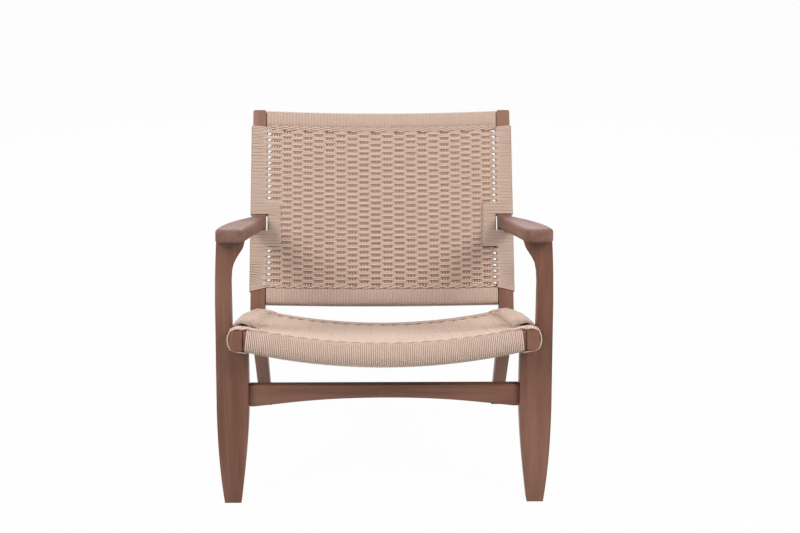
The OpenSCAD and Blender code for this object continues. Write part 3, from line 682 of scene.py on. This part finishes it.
class Weave:
    """Basket weave on a bow: doubled wefts go over and under columns of four warps, turn about.

    A row coordinate counts the doubled wefts; bend gives how far a row strays along the surface
    at a place across, where the whole width is -1 to 1. Each cloth adds edge, a weft's way from a loop
    to the field, and warp_parts, the pieces of a warp.
    """

    # How far wefts and warps leave the middle of the cloth, how much fuller they are than wound cord,
    # and how unevenly the wefts lie.
    OVER, UNDER, FULLER, WANDER = 0.0022, 0.0009, 0.0003, 0.00012
    # A weft's points in each column, and how far out it is there.
    SHARES, CROWN = np.array([0.0, 0.14, 0.5, 0.86]), np.array([0.0, 0.90, 1.0, 0.90])
    COLUMNS, WARPS = 20, 4
    TWINE_DEPTH, TWINE_RISE = 0.0021, 0.0020

    def __init__(self, bow, half, start, end, rows, tuck):
        self.bow, self.half, self.rows = bow, half, rows
        self.start, self.end, self.tuck = start, end, tuck
        self.pitch = (end - start) / rows

    def across(self, xi, along):
        """Distance from the middle; the columns are a little wider there."""
        return (xi + 0.025 * np.sin(math.pi * xi)) * self.half(along)

    def bend(self, xi, row):
        return 0.0006 * np.sin(7 * xi + 2.0 * np.sin(0.2 * row)) * (1 - np.square(xi))

    def place(self, xi, row):
        """Distance along the surface."""
        return self.start + self.pitch * row + self.bend(xi, row)

    def cords(self, extra=0):
        """Row coordinates of the wefts, two to a row, with some rows more below and above the field."""
        return np.arange(-2 * extra, 2 * (self.rows + extra)) / 2 + 0.25

    def passes_over(self, column, row):
        return (column + np.floor(row)) % 2 == 0

    def trim(self, row):
        """How many columns a weft lacks at each end."""
        return 0

    def weft(self, row):
        """A weft's way through the columns: across, depth, along."""
        trim = self.trim(row)
        column = np.arange(trim, self.COLUMNS - trim)
        over = np.where(self.passes_over(column, row), -1.0, 1.0)
        share = np.append((column[:, None] + self.SHARES).ravel(), self.COLUMNS - trim)
        depth = np.append((over[:, None] * self.CROWN).ravel(), 0.0) * self.OVER
        depth[0] = depth[-1] = 0.7 * over[0] * self.OVER
        xi = 2 * share / self.COLUMNS - 1
        along = self.place(xi, row)
        return self.across(xi, along), depth, along

    def lay_wefts(self, name, node, seed):
        """Every weft, led from the loop on its left to the one on its right."""
        wefts = CordRuns(name, node, seed)
        for row in self.cords():
            trim = self.trim(row)
            middle = self.bow.local(*self.weft(row))
            middle[:, self.bow.along_axis] += wefts.random.normal(0, self.WANDER)
            left, right = (np.array(self.edge(row, self.passes_over(column, row)))
                           for column in (trim, self.COLUMNS - 1 - trim))
            line = np.vstack([left * (-1, 1, 1), middle, right[::-1]])
            wefts.add(to_world(self.bow.matrix, line), self.up(), weave=self, hollow=None)
        wefts.finish()

    def lay_warps(self, name, node, seed):
        """Every warp, as one piece for each half of the cloth."""
        across = np.array(self.bow.matrix.col[0][:3])
        half = self.COLUMNS // 2
        for side, first in (("left", 0), ("right", half)):
            warps = CordRuns(f"{name}_{side}", node, seed)
            for column in range(first, first + half):
                for which in range(self.WARPS):
                    for place, hollow in self.warp_parts(column, which):
                        warps.add(self.bow.at(*place), across, weave=self, hollow=hollow)
            warps.finish()

    def warp(self, column, which, low=0, high=None):
        """One warp between two rows: across, depth and along, and the shade painted on it."""
        xi = 2 * (column + (which + 0.5) / self.WARPS) / self.COLUMNS - 1
        row = np.arange(3 * low, 3 * (self.rows if high is None else high)) / 3 + 1 / 6
        depth = (1 if column % 2 == 0 else -1) * self.UNDER * np.sin(math.pi * row)
        # Painted shadow: the last of each row's three points is made dark, standing in for the shadow of the
        # neighbouring wefts.
        hollow = np.tile([0.0, 0.1, 1.0], len(row) // 3)
        along = self.place(xi, row)
        if low == 0:
            depth, along = np.append(0.0005, depth), np.append(self.start - self.tuck, along)
            hollow = np.append(0.0, hollow)
        if high is None:
            depth, along = np.append(depth, 0.0005), np.append(along, self.end + self.tuck)
            hollow = np.append(hollow, 0.0)
        return (self.across(xi, along), depth, along), hollow

    def lay_rope(self, runs, along, stretch, proud=0.0022, shade=0.95):
        """Two strands twined round the warps, one stroke to a column."""
        column = np.arange(-8 * stretch, 8 * (self.COLUMNS + stretch) + 1) / 8
        xi = 2 * column / self.COLUMNS - 1
        for strand in (0, 1):
            phase = math.pi * (column + strand)
            depth = self.sink(along) - proud - self.TWINE_DEPTH * np.cos(phase)
            line = self.bow.at(self.across(xi, along), depth, along + self.TWINE_RISE * np.sin(phase))
            # Painted shade on each strand where it runs deep behind the warps, scaled by shade.
            runs.add(line, self.up(), weave=self, hollow=shade * smooth(-np.cos(phase), 0.0, 0.6))

    def hollow(self, points, rings):
        """Painted shade on a weft, where its flesh faces the middle of the cloth, away from the places where
        it changes sides.
        """
        depth, along = self.bow.place(points)
        level = np.abs(depth - self.sink(along))
        skin, along = self.bow.place(rings.reshape(-1, 3))
        skin = np.abs(skin - self.sink(along)).reshape(rings.shape[:2])
        return (smooth(level, 0.5 * self.OVER, 0.9 * self.OVER)[:, None]
                * smooth(level[:, None] - skin, 0.0, 0.0012))

    def sink(self, along):
        """How far the cloth hangs below its bow."""
        return 0 * along

    def up(self):
        """Along the surface, in the world: what a weft never follows."""
        return np.array(self.bow.matrix.col[self.bow.along_axis][:3])


def bar_zone(height):
    """What the cord at a height on the back goes round: the stile, the bar, or both."""
    s = sizes()
    if s.bare_low - 0.001 < height < s.bare_high + 0.001:
        return "bar"
    if s.span_low + 0.0012 < height < s.span_high - 0.0012:
        return "both"
    return "stile"


def back_loop(height):
    """A loop round the stile and the bar on the +X side, seen from above: across and rearwards."""
    s = sizes()
    zone = bar_zone(height)
    outer = s.stile_x + s.stile_foot - (s.stile_foot - s.stile_top) * height / s.stile_length
    bar_front, bar_rear = (s.stile_depth - s.back_rail) / 2, (s.stile_depth + s.back_rail) / 2
    corners = [(s.stile_x, 0), (outer, 0), (outer, s.stile_depth), (s.stile_x, s.stile_depth)]
    if zone == "bar":
        outer = s.bar_x + s.bar_width + 0.003
        corners = [(outer, bar_front), (outer, bar_rear)]
    if zone != "stile":
        corners = [(s.bar_x, bar_front), *corners, (s.bar_x, bar_rear)]
    return taut_loop(corners, 0.0015, s.cord / 2 + CLEAR, 0.0006)


def turn_slant(height):
    """How much higher a turn lies outside than inside: a little at the top, and lower at the foot."""
    return 0.0035 * smooth(height, 0.37, 0.445) - 0.008 * (1 - smooth(height, 0.058, 0.125))


class BackWeave(Weave):
    """The back's field, with the wefts led round the stiles and the weaving bars."""

    HALF = 0.2625

    def __init__(self):
        super().__init__(back_bow(), lambda along: self.HALF + 0 * along,
                         start=0.0605, end=0.4365, rows=53, tuck=0.0125)

    def height(self, row):
        """Height of a weft on the stile."""
        return float(self.place(1.0, row))

    def trim(self, row):
        return 0 if bar_zone(self.height(row)) == "stile" else 1

    def edge(self, row, over):
        """From a loop to the field's edge on the +X side, in the back's frame."""
        s = sizes()
        height = self.height(row)
        beside_stile = bar_zone(height) == "stile"
        inner = s.stile_x if beside_stile else s.bar_x
        face = 0.0 if beside_stile else (s.stile_depth - s.back_rail) / 2
        front, rear = face - s.cord / 2 - CLEAR, s.stile_depth - face + s.cord / 2
        field = self.HALF if beside_stile else self.HALF * (1 - 2 / self.COLUMNS)
        gap = inner - field
        level = self.bow.local(field, 0.0, height)[1]
        if over:
            return [(inner + 0.006, front + 0.0007, height), (inner - 0.0002, front + 0.0002, height),
                    (inner - 0.45 * gap, 0.4 * front + 0.6 * level - 0.001, height)]
        return [(inner + 0.002, rear - 0.0008, height - 0.0006),
                (inner - 0.22 * gap, rear - 0.003, height - 0.0014),
                (inner - 0.45 * gap, 0.55 * rear + 0.45 * level, height - 0.0030),
                (inner - 0.70 * gap, level + 0.007, height - 0.0028)]

    def warp_parts(self, column, which):
        """The warps of the outer columns leave room for the cord round the weaving bars."""
        s = sizes()
        low = int((s.span_low + 0.003 - self.start) / self.pitch)
        high = int((s.span_high - 0.003 - self.start) / self.pitch) + 1
        whole = 0 < column < self.COLUMNS - 1
        reaches = [(0, None)] if whole else [(0, low), (high, None)]
        return [self.warp(column, which, *reach) for reach in reaches]


class CHAIR_OT_back_sides(bpy.types.Operator):
    """Wind cord round the back's stiles and weaving bars"""
    bl_idname = "chair.back_sides"
    bl_label = "Back side cord"

    def execute(self, context):
        s = sizes()
        weave = BackWeave()
        for side, sign in SIDES.items():
            lower, upper = wound(f"back_{side}_lower", 11), wound(f"back_{side}_upper", 13)
            bar = wound(f"bar_{side}", 12)
            for row in weave.cords(extra=1):
                height = weave.height(row)
                beside = lower if height < s.bare_low else upper
                runs = bar if bar_zone(height) == "bar" else beside
                section = back_loop(height)
                share = (section[:, 0] - s.stile_x) / s.stile_foot
                rise = (height + turn_slant(height) * np.clip(share, 0, 1.1)
                        + runs.random.normal(0, 0.00006) * (1 + share))
                line = np.column_stack([sign * section[:, 0], section[:, 1], rise])
                runs.add(to_world(weave.bow.matrix, line), weave.up(), closed=True)
            for runs in (lower, upper, bar):
                runs.finish()
        return {"FINISHED"}


class CHAIR_OT_back_field(bpy.types.Operator):
    """Weave the field of the back"""
    bl_idname = "chair.back_field"
    bl_label = "Back weave"

    def execute(self, context):
        weave = BackWeave()
        weave.lay_wefts("back_wefts", "back_panel", 21)
        weave.lay_warps("back_warps", "back_panel", 22)
        ropes = CordRuns("back_twining", "back_panel", 23)
        weave.lay_rope(ropes, weave.start - 0.003, stretch=0.3)
        weave.lay_rope(ropes, weave.end + 0.003, stretch=0.3)
        weave.lay_rope(ropes, weave.end + 0.0082, stretch=0.5, proud=0.0008)
        ropes.finish()
        return {"FINISHED"}


FRONT_RISE, REAR_RISE = 0.0054, 0.0062


def lifted(depth, along):
    """Raises cord that passes above the wound front and rear rails."""
    s = sizes()
    behind = s.seat_depth - s.cross_rail
    ahead = smooth(-along, -s.cross_rail - 0.010, -s.cross_rail - 0.002)
    rear = smooth(along, behind - 0.010, behind - 0.002)
    return depth + ahead * (-FRONT_RISE - depth) + rear * (-REAR_RISE - depth)


def side_swell(place):
    """How far the crowded turns stand off a side rail at a place along it."""
    s = sizes()
    if place < s.rail_nose:
        return 0.0008 + 0.0026 * smooth(place, 0.004, 0.032)
    return 0.0014 + (0.0020 + 0.0036 * smooth(place, 0.090, 0.19)) * (1 - smooth(place, 0.36, s.seat_depth))


def side_loop(place, open_inside):
    """Section of a turn round a side rail, outwards and up; open turns stop at the inner face."""
    s = sizes()
    half = s.rail_width / 2
    nose = place < s.rail_nose
    loop = box_loop((-half, -s.rail_height), (half, 0), (s.edge, s.rail_round, s.rail_round, s.edge),
                    0.0008 if nose else 0.0015, 0 if nose else side_swell(place))
    if not open_inside:
        return loop
    outer = slice(CORNER_POINTS, 3 * CORNER_POINTS)
    below, above = loop[ARC_STEPS, 1], loop[3 * CORNER_POINTS, 1]
    tucked = -half + 0.004
    last = (-half - 0.005, below - 0.0045) if nose else (tucked, below)
    section = np.vstack([(tucked, above), loop[outer][::-1], last])
    if nose:
        section[:, 1] += side_swell(place) * smooth(section[:, 1], -s.rail_height, 0)
    return section


class SeatWeave(Weave):
    """The seat's field. The first rows stray forward to the side rails' noses, the rest rearwards."""

    OVER = 0.0019
    NOSE_ROWS = 5
    AHEAD, BEHIND = -0.031, 0.0297
    MARGIN, NOSE_RISE = 0.0165, 0.0042

    def __init__(self):
        super().__init__(seat_bow(), lambda along: seat_half(along) - self.MARGIN,
                         start=0.0345, end=0.4745, rows=62, tuck=0.0070)

    def drift(self, row):
        """How far a row has strayed along the seat where it meets the side rails."""
        return np.where(row < self.NOSE_ROWS, self.AHEAD, self.BEHIND)

    def stray(self, x, row):
        """How far it has strayed at a distance from the middle."""
        return smooth(np.abs(x), seat_half(0.1) - 0.046, seat_half(0.1) - 0.018) * self.drift(row)

    def sink(self, along):
        """Lower ahead of the rear rail, and higher behind the front one."""
        return 0.0022 * smooth(along, 0.40, 0.470) - 0.0012 * (1 - smooth(along, 0.036, 0.090))

    def bend(self, xi, row):
        return super().bend(xi, row) + self.stray(xi * (seat_half(0.2) - self.MARGIN), row)

    def rail_place(self, row):
        """Where a weft crosses the side rail, along the rail."""
        return float(self.start + self.pitch * row + self.drift(row))

    def weft(self, row):
        x, depth, along = super().weft(row)
        depth = lifted(depth + self.sink(along), along)
        if row < self.NOSE_ROWS:
            rising = smooth(np.abs(x), seat_half(0) - 0.056, seat_half(0) - 0.032)
            depth = depth + rising * (-self.NOSE_RISE - depth)
        return x, depth, along

    def edge(self, row, over):
        """From a side rail to the field's edge on the +X side, in the seat's frame."""
        s = sizes()
        place = self.rail_place(row)
        inner = seat_half(place)
        grow = s.cord / 2 + CLEAR

        def along(x):
            return self.start + self.pitch * row + self.stray(x, row)

        if over or row < self.NOSE_ROWS or place > s.seat_depth - s.cross_rail - s.cord:
            swell = side_swell(place)
            inward = [inner - 0.0045, inner - 0.0105]
            depth = lifted(np.array([-0.0020 - 0.8 * swell, -0.0017 - 0.3 * swell]), along(np.array(inward)))
            return [(inner + 0.0075, place, grow + swell - 0.0006),
                    (inner + 0.0015, place, grow + 0.8 * swell),
                    *(self.bow.local(x, deep, along(x)) for x, deep in zip(inward, depth))]
        below = -s.rail_height - grow
        return [(inner + 0.003, place, below + 0.0008), (inner - 0.0025, place, below + 0.004),
                (inner - 0.0070, along(inner - 0.0070), -0.022),
                (inner - 0.0125, along(inner - 0.0125), -0.0085)]

    def warp_parts(self, column, which):
        """The warps end at the wound front and rear rails."""
        s = sizes()
        front, rear = s.cross_rail + 0.0005, s.seat_depth - s.cross_rail - 0.0005
        (x, depth, along), hollow = self.warp(column, which)
        kept = (along >= front) & (along <= rear)
        kept[0] = kept[-1] = True
        along = np.clip(along, front, rear)
        depth = depth + self.sink(along)
        return [((x[kept], depth[kept], along[kept]), hollow[kept])]


class CHAIR_OT_seat_sides(bpy.types.Operator):
    """Wind cord round the seat's side rails"""
    bl_idname = "chair.seat_sides"
    bl_label = "Seat side cord"

    def execute(self, context):
        s = sizes()
        weave = SeatWeave()
        closed_end = s.seat_depth - s.cross_rail - s.cord - 0.002
        for side, sign in SIDES.items():
            rail = rail_frame(side)
            along = np.array(rail.col[1][:3])
            sides, corner = wound(f"seat_{side}", 31), wound(f"seat_{side}_corner", 32)
            for row in weave.cords():
                place = weave.rail_place(row)
                behind_leg = row >= weave.NOSE_ROWS
                runs = sides if behind_leg else corner
                closed = behind_leg and place < closed_end
                section = side_loop(place, not closed)
                run = place + runs.random.normal(0, 0.0001) * (1 + section[:, 0] / s.rail_width)
                line = np.column_stack([sign * section[:, 0], run, section[:, 1]])
                runs.add(to_world(rail, line), along, closed=closed)
            sides.finish()
            corner.finish()
        return {"FINISHED"}


class CHAIR_OT_seat_field(bpy.types.Operator):
    """Weave the field of the seat"""
    bl_idname = "chair.seat_field"
    bl_label = "Seat weave"

    def execute(self, context):
        weave = SeatWeave()
        weave.lay_wefts("seat_wefts", "seat_panel", 41)
        weave.lay_warps("seat_warps", "seat_panel", 42)
        ropes = CordRuns("seat_twining", "seat_panel", 43)
        weave.lay_rope(ropes, weave.start - 0.0020, stretch=0.4, proud=0.0012, shade=0)
        weave.lay_rope(ropes, weave.end + 0.0032, stretch=0.4, proud=0.0030)
        ropes.finish()
        return {"FINISHED"}


def wind_rail(name, bow, limit, low, high, belly=0.0012, spread=1.03):
    """Turns side by side round a bowed rail. low and high are its section's corners: depth, along.

    The turns fan out less than the bow does, so that the last ones clear what the rail ends in.
    """
    s = sizes()
    runs = wound(name, 51)
    grow = s.cord / 2 + CLEAR
    fan = 0.5  # of the bow's own fanning
    reach = (limit - grow) / (1 + fan * (high[0] + grow) / bow.radius)
    turns = int(2 * reach / (s.cord * spread))
    section = box_loop(low, high, s.edge, belly)
    middle = (np.asarray(low) + high) / 2
    share = (section[:, 1] - middle[1]) / (high[1] - low[1])
    for turn in range(turns + 1):
        x = -reach + 2 * reach * turn / turns
        slant = runs.random.normal(0, 0.00005) * share
        proud = 1 + runs.random.uniform(-0.001, 0.002)
        depth, along = (middle + (section - middle) * proud).T
        line = bow.local(x + slant, depth, along)
        line[:, 0] -= (1 - fan) * depth * x / bow.radius
        across = bow.at(x + 0.001, 0, middle[1]) - bow.at(x - 0.001, 0, middle[1])
        runs.add(to_world(bow.matrix, line), across, closed=True)
    runs.finish()


class CHAIR_OT_cross_rails(bpy.types.Operator):
    """Wind cord round the seat's and the back's bowed cross rails"""
    bl_idname = "chair.cross_rails"
    bl_label = "Cross rail cord"

    def execute(self, context):
        s = sizes()
        back, seat = back_bow(), seat_bow()
        top = s.stile_length - s.cord - CLEAR
        low, high = s.back_rail_low, s.back_rail_low + s.back_rail_height + 0.0045
        wind_rail("back_top", back, s.stile_x, (0, top - s.back_rail_height), (s.back_rail, top))
        wind_rail("back_bottom", back, s.stile_x, (0, low), (s.back_rail, high))
        wind_rail("seat_front", seat, seat_half(s.cross_rail) - 0.001, (0, 0), (s.rail_height, s.cross_rail),
                  belly=(0.0036, 0.0015, 0.001, 0.0012), spread=1.12)
        wind_rail("seat_rear", seat, seat_half(s.seat_depth) - 0.001, (-0.0010, s.seat_depth - s.cross_rail),
                  (s.rail_height, s.seat_depth))
        return {"FINISHED"}


def cord_twist_group():
    """Three-ply cord from its own coordinates: grooves of the twist, its flanks, and its fibres. Groove and
    Flank mark where shade is painted.
    """
    group, nodes, given, out = new_group(
        "Cord twist", {"Vector": "Vector"},
        {"Groove": "Float", "Flank": "Float", "Fibre": "Float", "Height": "Float"})
    parts = nodes.add("ShaderNodeSeparateXYZ", {"Vector": given["Vector"]}).outputs
    plies = nodes.times(nodes.plus(parts["X"], parts["Y"]), 3 * math.pi)
    ridge = nodes.math("ABSOLUTE", nodes.math("SINE", plies))
    angle = nodes.plus(nodes.times(parts["X"], 2 * math.pi), math.pi / 6)
    fibre = nodes.noise(nodes.mapped(given["Vector"], (9, 60, 1), (0, 0, 0.3)), 1.0, 3.0, 0.65)
    nodes.fill(out, {"Groove": nodes.ramp(nodes.math("SUBTRACT", 1.0, ridge), 0.15, 0.80),
                     "Flank": nodes.ramp(nodes.math("ABSOLUTE", nodes.math("SINE", angle)), 0.62, 1.0),
                     "Fibre": fibre, "Height": nodes.plus(ridge, nodes.times(fibre, 0.3))})
    return group


def cord_material():
    """Paper cord, with painted shade in the grooves of its twist, on its flanks where it meets its
    neighbours, and deep in the weave.
    """
    if "paper_cord" in bpy.data.materials:
        return bpy.data.materials["paper_cord"]
    material, nodes, shader = new_material("paper_cord")
    own = nodes.add("ShaderNodeUVMap", uv_map="cord").outputs["UV"]
    twist = nodes.add("ShaderNodeGroup", {"Vector": own}, node_tree=cord_twist_group()).outputs
    tone, hollow = (nodes.add("ShaderNodeAttribute", attribute_name=name).outputs["Fac"]
                    for name in ("tone", "hollow"))
    light, dark = rgba(colours().cord), rgba(colours().cord_dark_fibre_and_shade)
    # Painted shade in the twist's grooves and on the flanks where each cord meets its neighbours.
    body = nodes.mix(nodes.math("MAXIMUM", twist["Groove"], nodes.times(twist["Flank"], 0.72)), light, dark)
    fibrous = nodes.mix(nodes.times(twist["Fibre"], 0.20), body, dark)
    varied = nodes.mix(nodes.times(tone, 0.07), fibrous, dark)
    # Painted shade: points marked deep in the weave are mixed towards the painted shade colour.
    nodes.fill(shader, {"Base Color": nodes.mix(nodes.times(hollow, 0.88), varied, rgba(colours().cord_painted_shade)),
                        "Normal": nodes.bump(0.9, 0.0008, twist["Height"]),
                        "Roughness": 0.72, "Specular IOR Level": 0.30})
    return material


# ---- panel and registration

CLASSES = (ChairSizes, ChairColours, StudioSettings, CHAIR_OT_studio, CHAIR_OT_legs, CHAIR_OT_frame,
           CHAIR_OT_armrests, CHAIR_OT_fastenings, CHAIR_OT_cross_rails, CHAIR_OT_back_sides,
           CHAIR_OT_back_field, CHAIR_OT_seat_sides, CHAIR_OT_seat_field)
STEPS = ("studio", "legs", "frame", "armrests", "fastenings", "cross_rails", "back_sides", "back_field",
         "seat_sides", "seat_field")


class CHAIR_PT_panel(bpy.types.Panel):
    """Lists the steps that make the chair"""
    bl_idname = "CHAIR_PT_panel"
    bl_label = "Armchair"
    bl_space_type = "VIEW_3D"
    bl_region_type = "UI"
    bl_category = "Armchair"

    def draw(self, context):
        for step in STEPS:
            self.layout.operator("chair." + step)


def register():
    for made in (*CLASSES, CHAIR_PT_panel):
        bpy.utils.register_class(made)
    bpy.types.Scene.chair_sizes = bpy.props.PointerProperty(type=ChairSizes)
    bpy.types.Scene.chair_colours = bpy.props.PointerProperty(type=ChairColours)
    bpy.types.Scene.chair_studio = bpy.props.PointerProperty(type=StudioSettings)


def unregister():
    del bpy.types.Scene.chair_studio
    del bpy.types.Scene.chair_colours
    del bpy.types.Scene.chair_sizes
    for made in reversed((*CLASSES, CHAIR_PT_panel)):
        bpy.utils.unregister_class(made)


def main():
    register()
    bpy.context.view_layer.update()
    for step in STEPS:
        getattr(bpy.ops.chair, step)()


if __name__ == "__main__":
    main()
